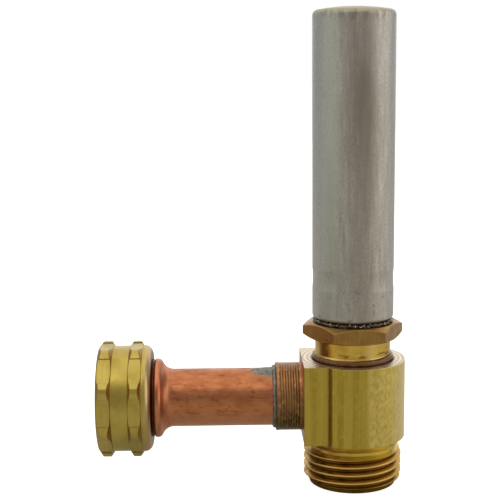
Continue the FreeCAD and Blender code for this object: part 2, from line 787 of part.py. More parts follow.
def make_solder():
    """The solder: a film in the socket and a fillet where it shows."""
    body = new_body("solder_joint")
    outer = boss_radius - S.boss_chamfer
    face_bend = bow(S.solder_leg, outer - S.tube_radius, openness=1.1)
    turned(body, "solder_fillet", [
        (tube_end, S.tube_radius),
        (boss_end + S.solder_leg, S.tube_radius),
        arc(boss_end, outer, face_bend, -1),
        (boss_end, socket_radius),
        (tube_end, socket_radius),
    ], axis="H_Axis")
    lay_on_branch(body)
    return body


def bar_outline():
    """The octagon bar, its flats relieved a little between the corner lugs."""
    relieved = nut_apothem - S.nut_lug_step
    half_side = math.pi / 8
    half_flat = half_side - math.radians(S.nut_lug_angle.number)
    points = []
    for side in range(8):
        middle = 2 * half_side * side
        for offset, distance in ((-half_flat, nut_apothem), (-half_flat, relieved),
                                 (half_flat, relieved), (half_flat, nut_apothem)):
            sideways = nut_apothem * math.tan(offset)
            across = distance * math.cos(middle) - sideways * math.sin(middle)
            up = distance * math.sin(middle) + sideways * math.cos(middle)
            points.append((across, up))
        corner = middle + half_side
        points.append((nut_corner_radius * math.cos(corner),
                       nut_corner_radius * math.sin(corner)))
    return points


def nut_outside():
    """What the lathe takes off the bar: shoulder, two bands, groove and chamfers."""
    flank = S.nut_band_flank
    crest = nut_groove_radius + S.nut_band_step
    shoulder = nut_groove_radius + S.nut_shoulder_step
    corner = S.nut_shoulder_round
    outside = nut_corner_radius + MARGIN
    rear = nut_back + S.nut_band_place
    rear_end = rear + S.nut_rear_band
    front_end = nut_mouth - S.nut_mouth_chamfer
    front = front_end - S.nut_front_band
    return [
        (nut_back, outside),
        (nut_back, shoulder - corner),
        arc(nut_back + corner, shoulder, corner, -1),
        (rear - flank, shoulder),
        (rear, crest),
        (rear_end, crest),
        (rear_end + flank, nut_groove_radius),
        (front - flank, nut_groove_radius),
        (front, crest),
        (front_end, crest),
        (nut_mouth, crest - S.nut_mouth_drop),
        (nut_mouth + MARGIN, crest - S.nut_mouth_drop),
        (nut_mouth + MARGIN, outside),
    ]


def make_nut():
    body = new_body("swivel_nut")
    extruded(body, "octagon_bar", bar_outline(), "YZ_Plane", nut_back, S.nut_length)
    turned(body, "turned_outside", nut_outside(), "Groove", "H_Axis")
    hole = collar_radius + S.nut_hole_clearance
    relief = nut_thread_major + S.nut_relief_step
    thread_start = washer_front + S.washer_gap
    turned(body, "nut_bore", [
        (nut_back - MARGIN, ZERO),
        (nut_back - MARGIN, hole),
        (nut_cavity, hole),
        (nut_cavity, relief),
        (thread_start, relief),
        (thread_start + S.nut_thread_lead, nut_thread_minor),
        (nut_lip - S.nut_thread_lead, nut_thread_minor),
        (nut_lip, nut_lip_radius),
        (nut_mouth + MARGIN, nut_lip_radius),
        (nut_mouth + MARGIN, ZERO),
    ], "Groove", "H_Axis")
    thread = (nut_thread_minor, S.hose_thread_pitch, S.hose_thread_depth,
              S.hose_thread_flat)
    start = thread_start - S.hose_thread_pitch / 2
    thread_cut(body, "nut_thread", thread, 1, start, nut_mouth, "H_Axis")
    lay_on_branch(body)
    return body


def make_washer():
    body = new_body("hose_washer")
    edge = S.washer_edge
    hole = washer_radius - S.washer_width
    turned(body, "washer_ring", [
        (washer_back, hole),
        (washer_back, washer_radius - edge),
        arc(washer_back + edge, washer_radius, edge, -1),
        (washer_front - edge, washer_radius),
        arc(washer_front, washer_radius - edge, edge, -1),
        (washer_front, hole),
    ], axis="H_Axis")
    lay_on_branch(body)
    return body


# ---------------------------------------------------------------- build, check, write

def check(bodies):
    """Stop if any object failed or any piece is not one valid solid."""
    faults = [o.Name for o in doc.Objects if "Invalid" in o.State or "Error" in o.State]
    if faults:
        raise RuntimeError(f"objects with faults: {faults}")
    for body in bodies:
        shape = body.Shape
        if shape.isNull() or not shape.isValid() or len(shape.Solids) != 1:
            raise RuntimeError(f"{body.Label} is not one valid solid")


def main():
    bodies = [
        make_tee(),
        make_adapter(),
        make_shell(),
        make_piston(),
        make_oring("spigot_oring", spigot_ring_place),
        make_oring("piston_oring_lower", piston_ring_low),
        make_oring("piston_oring_upper", piston_ring_high),
        make_chamber_sealant(),
        make_thread_sealant(),
        make_tube(),
        make_solder(),
        make_nut(),
        make_washer(),
    ]
    doc.recompute()
    check(bodies)
    os.makedirs("parts", exist_ok=True)
    for body in bodies:
        body.Shape.exportStep(f"parts/{body.Label}.step")
        print(f"{body.Label:20s} volume {body.Shape.Volume:9.1f} mm3")


main()
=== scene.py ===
import math

import bpy
from mathutils import Matrix, Vector


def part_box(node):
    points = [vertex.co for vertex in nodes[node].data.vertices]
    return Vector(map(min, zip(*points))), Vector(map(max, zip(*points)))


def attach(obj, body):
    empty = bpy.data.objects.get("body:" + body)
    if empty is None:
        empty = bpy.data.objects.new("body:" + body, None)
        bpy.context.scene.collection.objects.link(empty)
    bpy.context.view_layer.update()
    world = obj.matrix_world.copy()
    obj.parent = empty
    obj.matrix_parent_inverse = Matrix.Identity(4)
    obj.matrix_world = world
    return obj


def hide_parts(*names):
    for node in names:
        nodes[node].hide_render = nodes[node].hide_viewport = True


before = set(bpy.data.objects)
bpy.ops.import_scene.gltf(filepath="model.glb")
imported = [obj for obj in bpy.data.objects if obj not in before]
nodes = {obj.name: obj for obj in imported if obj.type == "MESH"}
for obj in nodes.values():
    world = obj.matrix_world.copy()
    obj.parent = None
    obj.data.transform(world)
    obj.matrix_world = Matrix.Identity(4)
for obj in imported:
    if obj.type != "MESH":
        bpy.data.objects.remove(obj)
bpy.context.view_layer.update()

# Looks for a washing-machine tee with a water-hammer arrester: extruded brass tee, hexagon
# adapter, satin nickel-plated chamber, soldered copper branch and loose brass hose nut.
# Metres, in the frame of the design: +Z up the main axis, the branch towards -X.

MM = 0.001

TEE_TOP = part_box("tee_body")[1].z
BOSS_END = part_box("tee_body")[0].x
BRANCH_HEIGHT = (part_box("hose_washer")[0].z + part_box("hose_washer")[1].z) / 2
HEX_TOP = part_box("chamber_sealant")[0].z
SHELL_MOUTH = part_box("chamber_shell")[0].z
SHELL_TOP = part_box("chamber_shell")[1].z
NUT_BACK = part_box("swivel_nut")[1].x
NUT_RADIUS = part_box("swivel_nut")[1].y

# sizes that the design states and a box doesn't show
OUTLET_LENGTH = 13.3 * MM  # outlet below the tee's extruded body
THREAD_TOP = 9.7 * MM  # where the outlet's thread gives way to the undercut
THREAD_ROOT = 12.15 * MM
THREAD_CREST = 13.5 * MM
BLOCK_FACE = 14.05 * MM  # flat face that carries the boss
BLOCK_SIDE = 11.3 * MM  # side faces of the block
STEP_FOOT = -7.6 * MM  # foot and head of the step beside them
STEP_HEAD = -6.6 * MM
BOSS_RADIUS = 9.4 * MM
HEX_BOTTOM = TEE_TOP + 5.95 * MM
SHANK_RADIUS = 10.5 * MM
SHANK_SHOWING = TEE_TOP + 1.4 * MM  # the last turn of pipe thread ends here on the neck
TUBE_RADIUS = 7.94 * MM
FLARE_START = -49.4 * MM
BEAD_PLACE = -53.8 * MM


# ---------------------------------------------------------------- materials

def linear(code):
    """Linear colour of an sRGB hex code."""
    channels = [int(code[place:place + 2], 16) / 255 for place in (1, 3, 5)]
    return [c / 12.92 if c <= 0.04045 else ((c + 0.055) / 1.055) ** 2.4
            for c in channels] + [1.0]


def add(tree, kind, inputs=None, out=0, **settings):
    """Add a node, set it up, feed its inputs with values or other nodes' outputs, and give
    back its output out, or all of its outputs where out is None."""
    made = tree.nodes.new("ShaderNode" + kind)
    for name, value in settings.items():
        setattr(made, name, value)
    for name, value in (inputs or {}).items():
        if isinstance(value, bpy.types.NodeSocket):
            tree.links.new(value, made.inputs[name])
        else:
            made.inputs[name].default_value = value
    return made.outputs if out is None else made.outputs[out]


def new_material(name, metallic):
    """A material with its one shader, whose sockets the caller feeds."""
    material = bpy.data.materials.new(name)
    material.use_nodes = True
    shader = material.node_tree.nodes["Principled BSDF"]
    shader.inputs["Metallic"].default_value = metallic
    return material, material.node_tree, shader


def place_of(tree):
    """Object coordinates, with their three parts, and the distance from the main axis."""
    place = add(tree, "TexCoord", out="Object")
    parts = add(tree, "SeparateXYZ", {0: place}, None)
    flat = add(tree, "CombineXYZ", {0: parts[0], 1: parts[1]})
    return place, parts, add(tree, "VectorMath", {0: flat}, "Value", operation="LENGTH")


def from_branch(tree, deep, up):
    """Distance from the branch's axis."""
    height = add(tree, "Math", {0: up, 1: BRANCH_HEIGHT}, operation="SUBTRACT")
    flat = add(tree, "CombineXYZ", {0: deep, 1: height})
    return add(tree, "VectorMath", {0: flat}, "Value", operation="LENGTH")


def facing(tree, part):
    """How far the surface faces along X, Y or Z, which are parts 0, 1 and 2."""
    return add(tree, "SeparateXYZ", {0: add(tree, "TexCoord", out="Normal")}, part)


def grain(tree, place, size, detail=3.0, roughness=0.5):
    """Cloudy pattern whose blotches measure size (x, y, z) in millimetres."""
    scale = [1 / (side * MM) for side in size]
    stretched = add(tree, "Mapping", {"Vector": place, "Scale": scale})
    return add(tree, "TexNoise", {"Vector": stretched, "Scale": 1.0, "Detail": detail,
                                  "Roughness": roughness}, "Fac")


def where(tree, *ramps):
    """Mask that is 1 where all of the ramps are. A ramp is (value, low, high): 0 below low
    and 1 above high, or the other way round if low is the larger. A mask may stand for a
    ramp."""
    mask = None
    for ramp in ramps:
        if isinstance(ramp, tuple):
            value, low, high = ramp
            ramp = add(tree, "MapRange", {"Value": value, "From Min": low, "From Max": high})
        mask = ramp if mask is None else add(tree, "Math", {0: mask, 1: ramp},
                                             operation="MULTIPLY")
    return mask


def coat(tree, under, strength, tint, *ramps):
    """Lay a tint over the colour under it, as strongly as strength, where the ramps say."""
    share = where(tree, *ramps)
    if strength < 1:
        share = add(tree, "Math", {0: share, 1: strength}, operation="MULTIPLY")
    under, tint = (linear(c) if isinstance(c, str) else c for c in (under, tint))
    return add(tree, "Mix", {0: share, 6: under, 7: tint}, 2, data_type="RGBA")


def soften_edges(tree, radius):
    """The surface's direction with sharp edges rounded off, and 1 along those edges."""
    rounded = add(tree, "Bevel", {"Radius": radius * MM}, samples=6)
    straight = add(tree, "NewGeometry", out="Normal")
    match = add(tree, "VectorMath", {0: rounded, 1: straight}, "Value",
                operation="DOT_PRODUCT")
    return rounded, where(tree, (match, 0.99, 0.86))


def finish(tree, shader, colour, roughness, relief=None, depth=0, rounded=None):
    """Give the shader its colour, its roughness, which is a number or goes from low to high
    with a pattern, and a relief that rises depth millimetres where the pattern is 1."""
    tree.links.new(colour, shader.inputs["Base Color"])
    if isinstance(roughness, tuple):
        pattern, low, high = roughness
        varied = add(tree, "MapRange", {"Value": pattern, "From Min": 0.3, "From Max": 0.7,
                                        "To Min": low, "To Max": high})
        tree.links.new(varied, shader.inputs["Roughness"])
    else:
        shader.inputs["Roughness"].default_value = roughness
    if relief is not None:
        inputs = {"Height": relief, "Distance": depth * MM, "Strength": 1.0}
        if rounded is not None:
            inputs["Normal"] = rounded
        tree.links.new(add(tree, "Bump", inputs), shader.inputs["Normal"])


def thread_brass(tree, place, across, radius):
    """Cut thread, handled and a little dirty: crests rubbed pale, brown oxide in the roots."""
    depth = where(tree, (radius, THREAD_ROOT + 0.1 * MM, THREAD_CREST))
    patches = grain(tree, place, (3.5, 3.5, 1.3))
    colour = coat(tree, "#7a5519", 1, "#bd923c", (depth, 0.02, 0.6))
    colour = coat(tree, colour, 0.85, "#3a2109", (patches, 0.5, 0.64),
                  (across, 6 * MM, -10 * MM))
    return coat(tree, colour, 1, "#dcb970", (depth, 0.9, 1.0))


def undercut_brass(tree, place, across):
    """Turned undercut and cone: bright olive gold, browned on the side of the branch."""
    clouds = grain(tree, place, (2.5, 2.5, 1.5))
    return coat(tree, "#cdb252", 1, "#9a6c3c", (across, 0, -8 * MM), (clouds, 0.35, 0.6))


def boss_brass(tree, place, deep, up, clouds):
    """Turned boss, heated when the tube was soldered in: copper brown above, dull olive and
    purple-brown below, with gold where the ridges were rubbed and dirt between them."""
    fine = grain(tree, place, (0.8, 1.4, 1.4))
    out = from_branch(tree, deep, up)
    colour = coat(tree, "#94684a", 1, "#b08350", (clouds, 0.35, 0.65))
    colour = coat(tree, colour, 1, "#cf9f58", (fine, 0.56, 0.7))
    burnt = coat(tree, "#5b4636", 1, "#8a7c40", (fine, 0.4, 0.6))
    colour = coat(tree, colour, 1, burnt, (up, BRANCH_HEIGHT + 2 * MM, BRANCH_HEIGHT - 5 * MM))
    return coat(tree, colour, 0.6, "#4c2c18",
                (out, BOSS_RADIUS - 0.02 * MM, BOSS_RADIUS - 0.12 * MM))


def faced_brass(tree, place, radius):
    """The tee's top, faced in the lathe: pale rings, stained by sealant round the neck."""
    # a facing tool's real feed is about 0.2 mm; the rings are drawn wider, to show
    rings = add(tree, "TexWave", {"Vector": place, "Scale": 0.25 / MM, "Distortion": 0.0},
                "Fac", wave_type="RINGS", rings_direction="Z")
    colour = coat(tree, "#b8a88e", 1, "#e8d9c0", rings)
    return coat(tree, colour, 0.75, "#7a4a20",
                (radius, SHANK_RADIUS + 1.6 * MM, SHANK_RADIUS + 0.9 * MM))


def extruded_brass():
    """Extruded brass bar, machined at the ends and dulled in the air: olive gold on the
    drawn sides, with soft lengthwise draw streaks and a few pits, and brighter where a tool
    has cut it."""
    material, tree, shader = new_material("extruded_brass", 1.0)
    place, (across, deep, up), radius = place_of(tree)
    rounded, edge = soften_edges(tree, 0.22)
    streaks = grain(tree, place, (0.6, 0.6, 30), 3.0, 0.55)
    bands = grain(tree, place, (2.2, 2.2, 90), 1.0)
    clouds = grain(tree, place, (6, 6, 8), 2.0)
    mottle = grain(tree, place, (1.1, 1.1, 1.3))
    pits = where(tree, (grain(tree, place, (0.9, 0.9, 1.1), 2.0), 0.72, 0.78))

    colour = coat(tree, "#a78e34", 1, "#bca449", (streaks, 0.3, 0.72))
    colour = coat(tree, colour, 0.6, "#8c7020", (bands, 0.5, 0.7))
    colour = coat(tree, colour, 0.35, "#ccae56", (mottle, 0.45, 0.7))
    # painted light: the round side is painted brighter towards +X, in a mottle, with a painted
    # highlight down its far edge
    colour = coat(tree, colour, 1, "#d5bd6e", (across, 2.2 * MM, 3.4 * MM),
                  (mottle, 0.15, 0.75))
    colour = coat(tree, colour, 0.6, "#eddcaa", (across, 9 * MM, 13.5 * MM))
    colour = coat(tree, colour, 0.6, "#5f4416", pits)

    # painted shade along the foot of the step between the block and the round side
    beside = add(tree, "Math", {0: deep}, operation="ABSOLUTE")
    colour = coat(tree, colour, 0.55, "#513a12",
                  (across, STEP_FOOT - 0.15 * MM, STEP_FOOT + 0.1 * MM),
                  (across, STEP_HEAD - 0.15 * MM, STEP_HEAD - 0.4 * MM),
                  (beside, BLOCK_SIDE - 0.5 * MM, BLOCK_SIDE - 0.2 * MM), (mottle, 0.2, 0.5))
    colour = coat(tree, colour, 0.45, "#e2cc86", edge)

    colour = coat(tree, colour, 1, undercut_brass(tree, place, across),
                  (up, OUTLET_LENGTH + 0.05 * MM, OUTLET_LENGTH - 0.05 * MM))
    colour = coat(tree, colour, 1, thread_brass(tree, place, across, radius),
                  (up, THREAD_TOP + 0.3 * MM, THREAD_TOP))
    colour = coat(tree, colour, 1, boss_brass(tree, place, deep, up, clouds),
                  (across, -BLOCK_FACE + 0.02 * MM, -BLOCK_FACE - 0.04 * MM))
    # the corner between the block and the boss
    colour = coat(tree, colour, 0.6, "#8f4a1c",
                  (across, -BLOCK_FACE + 0.1 * MM, -BLOCK_FACE),
                  (across, -BLOCK_FACE - 0.45 * MM, -BLOCK_FACE - 0.25 * MM))
    colour = coat(tree, colour, 1, faced_brass(tree, place, radius),
                  (facing(tree, 2), 0.85, 0.95), (up, TEE_TOP - 0.3 * MM, TEE_TOP - 0.1 * MM))
    relief = add(tree, "Math", {0: streaks, 1: pits}, operation="SUBTRACT")
    finish(tree, shader, colour, (mottle, 0.3, 0.42), relief, 0.02, rounded)
    return material


def neck_brass(tree, place, across, up, radius, clouds):
    """The adapter's turned neck, over the last turn of its pipe thread, which is browner in the
    groove: bright gold with brown marks near its foot, and a painted dark reflection and a
    painted highlight in strips down it."""
    patches = grain(tree, place, (3.6, 3.6, 1.2))
    colour = coat(tree, "#d0ac50", 1, "#c09840", (clouds, 0.35, 0.7))
    # painted reflection: a dark brown strip down the side towards -X
    colour = coat(tree, colour, 0.9, "#6b421a", (across, -6.2 * MM, -7.6 * MM),
                  (across, -9.9 * MM, -8.9 * MM), (clouds, 0.2, 0.5))
    # painted highlight: a pale strip down the side towards +X
    colour = coat(tree, colour, 0.3, "#f2e0a4", (across, 1.5 * MM, 4.0 * MM),
                  (across, 6.5 * MM, 4.2 * MM))
    colour = coat(tree, colour, 0.8, "#6a4420", (patches, 0.52, 0.64),
                  (up, SHANK_SHOWING + 2.6 * MM, SHANK_SHOWING + 1.5 * MM),
                  (up, SHANK_SHOWING + 0.5 * MM, SHANK_SHOWING + 0.9 * MM))
    colour = coat(tree, colour, 1, "#c9a656",
                  (up, SHANK_SHOWING + 0.45 * MM, SHANK_SHOWING + 0.35 * MM))
    thread = coat(tree, "#b07634", 1, "#96602a",
                  (radius, SHANK_RADIUS - 0.1 * MM, SHANK_RADIUS - 0.7 * MM))
    return coat(tree, colour, 1, thread,
                (up, SHANK_SHOWING - 0.02 * MM, SHANK_SHOWING - 0.15 * MM))


def bar_brass():
    """Turned hexagon bar brass: brown-gold flats with fine cross scratches, rubbed pale on
    the edges and painted there with highlights, above a bright gold neck."""
    material, tree, shader = new_material("bar_brass", 1.0)
    place, (across, _, up), radius = place_of(tree)
    rounded, edge = soften_edges(tree, 0.2)
    # real scratches are finer than 0.1 mm; they are drawn coarser, to show
    scratches = grain(tree, place, (0.22, 0.22, 4), 3.0, 0.6)
    clouds = grain(tree, place, (4, 4, 3), 2.0)
    hexagon = coat(tree, "#8e6a35", 1, "#a9824a", (scratches, 0.3, 0.7))
    hexagon = coat(tree, hexagon, 0.5, "#806036", (clouds, 0.45, 0.7))
    # the edges: rubbed pale, and painted as highlights
    hexagon = coat(tree, hexagon, 0.7, "#d8b67a", edge)
    colour = coat(tree, neck_brass(tree, place, across, up, radius, clouds), 1, hexagon,
                  (up, HEX_BOTTOM - 0.1 * MM, HEX_BOTTOM))
    finish(tree, shader, colour, (clouds, 0.26, 0.38), scratches, 0.016, rounded)
    return material


def satin_nickel():
    """Drawn shell with a satin nickel plate: warm grey, with softly blurred highlights,
    faint lengthwise draw lines and scuffs, broad tints, painted reflections in strips down
    its length and small stains near the mouth."""
    material, tree, shader = new_material("satin_nickel", 1.0)
    place, (across, _, up), _ = place_of(tree)
    lines = grain(tree, place, (0.3, 0.3, 34), 3.0, 0.6)
    clouds = grain(tree, place, (8, 8, 30))
    # the satin's own grain, a few hundredths of a millimetre, drawn coarser, to show
    fine = grain(tree, place, (0.2, 0.2, 0.26), 2.0)
    mottle = grain(tree, place, (0.45, 0.45, 0.6))
    stains = grain(tree, place, (1.3, 1.3, 1.6), 2.0)
    # long scuffs from a box full of others, some bright and some dull
    scuffs = grain(tree, place, (1.3, 1.3, 11), 3.0, 0.6)

    colour = coat(tree, "#b4ada5", 1, "#a9a299", (clouds, 0.35, 0.7))
    colour = coat(tree, colour, 0.4, "#b9b2a8", (lines, 0.35, 0.7))
    colour = coat(tree, colour, 0.5, "#d2cbc1", (scuffs, 0.52, 0.7))
    colour = coat(tree, colour, 0.45, "#877f73", (scuffs, 0.46, 0.3))
    # painted reflections: a greener strip down one side, and painted highlights along both
    # edges
    colour = coat(tree, colour, 0.8, "#999b8f", (across, -3.0 * MM, -6.5 * MM),
                  (across, -11.1 * MM, -9.6 * MM))
    sideways = add(tree, "Math", {0: across}, operation="ABSOLUTE")
    colour = coat(tree, colour, 1, "#bebebd", (sideways, 7.5 * MM, 10.6 * MM))
    # painted reflection: a darker strip down the middle, darker still in clouds higher up
    dark = where(tree, (across, -3.5 * MM, 0.5 * MM), (across, 6.5 * MM, 3.0 * MM))
    colour = coat(tree, colour, 0.35, "#94897c", dark)
    colour = coat(tree, colour, 0.55, "#7d7567", dark, (clouds, 0.2, 0.55),
                  (up, SHELL_MOUTH + 25 * MM, SHELL_MOUTH + 55 * MM),
                  (up, SHELL_TOP - 6 * MM, SHELL_TOP - 18 * MM))
    colour = coat(tree, colour, 0.45, "#8c8479", (mottle, 0.4, 0.7))
    colour = coat(tree, colour, 0.7, "#a5a17e", (up, SHELL_TOP - 2.2 * MM,
                                                 SHELL_TOP - 1.4 * MM))
    # the closed end's rim is rubbed dull
    colour = coat(tree, colour, 0.5, "#7b6f5d", (scuffs, 0.56, 0.4),
                  (up, SHELL_TOP - 4.5 * MM, SHELL_TOP - 2.6 * MM),
                  (up, SHELL_TOP - 0.9 * MM, SHELL_TOP - 1.5 * MM))
    colour = coat(tree, colour, 0.5, "#6a5c4c", (stains, 0.64, 0.74),
                  (up, SHELL_MOUTH + 20 * MM, SHELL_MOUTH + 4 * MM))
    relief = add(tree, "Math", {0: lines, 1: fine}, operation="ADD")
    finish(tree, shader, colour, (clouds, 0.42, 0.52), relief, 0.012)
    return material


def drawn_copper():
    """Drawn copper tube, handled and lightly oxidised: orange-brown with lengthwise draw
    lines, redder smudges, ring marks in the flare, a grey heat patch by the solder, painted
    light on the underside and painted shade where the tube runs into the nut."""
    material, tree, shader = new_material("drawn_copper", 1.0)
    place, (across, _, up), _ = place_of(tree)
    lines = grain(tree, place, (24, 0.4, 0.4), 3.0, 0.6)
    smudges = grain(tree, place, (4.2, 2.4, 2.4))
    blots = grain(tree, place, (2.2, 0.9, 0.9), 2.0)
    rolls = grain(tree, place, (0.7, 6, 6), 2.0)
    colour = coat(tree, "#b47248", 1, "#c07e56", (lines, 0.3, 0.7))
    colour = coat(tree, colour, 0.7, "#a05a38", (smudges, 0.42, 0.7))
    colour = coat(tree, colour, 0.5, "#7d3e2a", (blots, 0.56, 0.68))
    # painted light: the underside is painted paler
    colour = coat(tree, colour, 0.7, "#dca07a",
                  (up, BRANCH_HEIGHT - 1.5 * MM, BRANCH_HEIGHT - 6 * MM))
    ringed = coat(tree, "#ad6246", 1, "#cf8a64", (rolls, 0.35, 0.65))
    colour = coat(tree, colour, 0.6, ringed, (across, FLARE_START, FLARE_START - 1.5 * MM))
    # painted shade where the tube runs into the nut
    colour = coat(tree, colour, 1, "#34170e",
                  (across, BEAD_PLACE - 0.8 * MM, BEAD_PLACE - 1.0 * MM))
    colour = coat(tree, colour, 0.6, "#7a7869",
                  (across, BOSS_END - 7 * MM, BOSS_END - 1 * MM), (smudges, 0.3, 0.5),
                  (up, BRANCH_HEIGHT + 5.5 * MM, BRANCH_HEIGHT + 7.2 * MM))
    finish(tree, shader, colour, (smudges, 0.3, 0.44), lines, 0.012)
    return material


def soft_solder():
    """Tin solder, wiped while hot: dull grey with a green-blue flux stain and a lumpy skin."""
    material, tree, shader = new_material("soft_solder", 1.0)
    place = add(tree, "TexCoord", out="Object")
    lumps = grain(tree, place, (0.9, 0.9, 0.9))
    stain = grain(tree, place, (2.5, 2.5, 2.5), 2.0)
    colour = coat(tree, "#64625a", 1, "#8c8a80", (lumps, 0.35, 0.65))
    colour = coat(tree, colour, 0.4, "#55605a", (stain, 0.45, 0.62))
    finish(tree, shader, colour, 0.42, lumps, 0.05)
    return material


def machined_brass():
    """Free-cutting brass, turned and milled: yellow flats, warmer turned grooves with round
    tool marks about the nut's axis, brown on the sloping flanks, painted shade along the
    edges and on the rear face, and a painted highlight on the rear shoulder."""
    material, tree, shader = new_material("machined_brass", 1.0)
    place, (across, deep, up), _ = place_of(tree)
    rounded, edge = soften_edges(tree, 0.14)
    out = from_branch(tree, deep, up)
    turning = add(tree, "CombineXYZ", {0: across, 1: out})
    # real tool marks lie about 0.1 mm apart; they are drawn twice as coarse, to show
    marks = grain(tree, turning, (0.2, 0.6, 1), 2.0, 0.6)
    clouds = grain(tree, place, (5, 5, 5))
    specks = grain(tree, place, (0.5, 0.5, 0.5), 1.0)
    lean = add(tree, "Math", {0: facing(tree, 0)}, operation="ABSOLUTE")

    colour = coat(tree, "#ad9848", 1, "#bfab5c", (marks, 0.3, 0.72))
    colour = coat(tree, colour, 0.5, "#9c8434", (clouds, 0.45, 0.7))
    warm = coat(tree, "#a88a4c", 1, "#c0a262", (marks, 0.3, 0.72))
    colour = coat(tree, colour, 1, warm, (out, NUT_RADIUS - 0.62 * MM, NUT_RADIUS - 0.72 * MM))
    colour = coat(tree, colour, 0.75, "#96682c", (lean, 0.3, 0.5), (lean, 0.99, 0.93))
    # painted shade on the rear face inside its rounded rim
    colour = coat(tree, colour, 0.8, "#4a2e14", (lean, 0.95, 0.98), (out, 13.2 * MM, 12.6 * MM))
    colour = coat(tree, colour, 0.5, "#6d5a20", (specks, 0.7, 0.78))
    # painted shade: dark lines along the edges
    colour = coat(tree, colour, 0.8, "#6a4f18", edge)
    # painted highlight on the rear shoulder
    colour = coat(tree, colour, 0.45, "#dcc898", (out, 13.0 * MM, 13.4 * MM),
                  (across, NUT_BACK - 2.0 * MM, NUT_BACK - 0.8 * MM))
    finish(tree, shader, colour, (clouds, 0.28, 0.38), marks, 0.014, rounded)
    return material


def pipe_sealant():
    """Anaerobic sealant, set hard: nearly black brown, glossy where it squeezed out, with
    small bright dots painted on as glints."""
    material, tree, shader = new_material("pipe_sealant", 0.0)
    place = add(tree, "TexCoord", out="Object")
    lumps = grain(tree, place, (0.7, 0.7, 0.5))
    painted_glints = grain(tree, place, (0.5, 0.5, 0.4), 1.0)
    colour = coat(tree, "#1c1008", 1, "#4a3016", (lumps, 0.45, 0.8))
    # painted glints: small bright dots
    colour = coat(tree, colour, 1, "#cdb98c", (painted_glints, 0.62, 0.68))
    finish(tree, shader, colour, 0.2, lumps, 0.06)
    return material


def smeared_sealant():
    """The same sealant wiped thin over brass: tobacco brown, half glossy."""
    material, tree, shader = new_material("smeared_sealant", 0.0)
    streaks = grain(tree, add(tree, "TexCoord", out="Object"), (1.6, 1.6, 0.3))
    colour = coat(tree, "#4a2c08", 1, "#84561c", (streaks, 0.35, 0.7))
    finish(tree, shader, colour, 0.3, streaks, 0.05)
    return material


def rubber(name, dark, pale, roughness):
    """Moulded rubber: matt black with a dusty bloom."""
    material, tree, shader = new_material(name, 0.0)
    place = add(tree, "TexCoord", out="Object")
    bloom = grain(tree, place, (1.8, 1.8, 1.8))
    colour = coat(tree, dark, 1, pale, (bloom, 0.45, 0.8))
    finish(tree, shader, colour, roughness, grain(tree, place, (0.12, 0.12, 0.12), 2.0), 0.01)
    return material


def moulded_acetal():
    """Natural acetal: milky white, slightly glossy, with faint flow marks."""
    material, tree, shader = new_material("moulded_acetal", 0.0)
    flow = grain(tree, add(tree, "TexCoord", out="Object"), (3, 3, 1), 2.0)
    finish(tree, shader, coat(tree, "#e4e1d6", 1, "#eeebe2", (flow, 0.4, 0.7)), 0.38)
    return material


def finish_nodes():
    """Give every CAD node that stays its finish."""
    black = rubber("nitrile_rubber", "#141414", "#222120", 0.45)
    finishes = {
        "tee_body": extruded_brass(),
        "hex_adapter": bar_brass(),
        "chamber_shell": satin_nickel(),
        "branch_tube": drawn_copper(),
        "swivel_nut": machined_brass(),
        "hose_washer": rubber("washer_rubber", "#1b1b1c", "#343332", 0.6),
        "piston": moulded_acetal(),
        "spigot_oring": black,
        "piston_oring_lower": black,
        "piston_oring_upper": black,
    }
    for name, material in finishes.items():
        nodes[name].data.materials.clear()
        nodes[name].data.materials.append(material)


# ---------------------------------------------------------------- sealant and solder

def squeezed_ring(name, place, turn, radius, section, squash, lump_size, lump_height):
    """A bead of something soft that set where it squeezed out: a ring, flattened along its
    axis by squash, with lumps of lump_size that rise lump_height."""
    bpy.ops.object.select_all(action="DESELECT")
    bpy.ops.mesh.primitive_torus_add(location=place, rotation=turn, major_radius=radius,
                                     minor_radius=section, major_segments=300,
                                     minor_segments=28)
    ring = bpy.context.object
    ring.name = name
    ring.data.name = name
    ring.scale = (1, 1, squash)
    bpy.ops.object.transform_apply(location=True, rotation=True, scale=True)
    lumps = bpy.data.textures.new(name + "_lumps", type="CLOUDS")
    lumps.noise_scale = lump_size
    lumps.noise_depth = 2
    raised = ring.modifiers.new("lumps", "DISPLACE")
    raised.texture = lumps
    raised.texture_coords = "LOCAL"
    raised.strength = lump_height * 2
    raised.mid_level = 0.5
    bpy.ops.object.modifier_apply(modifier=raised.name)
    bpy.ops.object.shade_smooth()
    return ring


def solder_run():
    """Solder that ran back along the top of the tube: a long flat drop, hollowed underneath
    by the tube's own round."""
    along_branch = (0, math.pi / 2, 0)
    below_skin = 0.24 * MM
    bpy.ops.object.select_all(action="DESELECT")
    bpy.ops.mesh.primitive_cylinder_add(vertices=160, radius=TUBE_RADIUS - below_skin,
                                        depth=34 * MM, rotation=along_branch,
                                        location=(BOSS_END, 0, BRANCH_HEIGHT))
    tube = bpy.context.object
    middle = (BOSS_END - 0.8 * MM, -0.7 * MM, BRANCH_HEIGHT + 4.0 * MM)
    bpy.ops.object.select_all(action="DESELECT")
    bpy.ops.mesh.primitive_uv_sphere_add(segments=64, ring_count=48, radius=1,
                                         location=middle)
    run = bpy.context.object
    run.name = "solder_run"
    run.data.name = "solder_run"
    run.scale = (13 * MM, 4.3 * MM, 4.4 * MM)
    bpy.ops.object.transform_apply(location=True, rotation=True, scale=True)
    hollow = run.modifiers.new("hollow", "BOOLEAN")
    hollow.operation = "DIFFERENCE"
    hollow.object = tube
    bpy.ops.object.modifier_apply(modifier=hollow.name)
    bpy.ops.object.shade_smooth()
    bpy.data.objects.remove(tube)
    return run


def place_ring(ring, material, node):
    """Give a ring its material and put it in its CAD node's stead."""
    ring.data.materials.append(material)
    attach(ring, "tee")
    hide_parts(node)


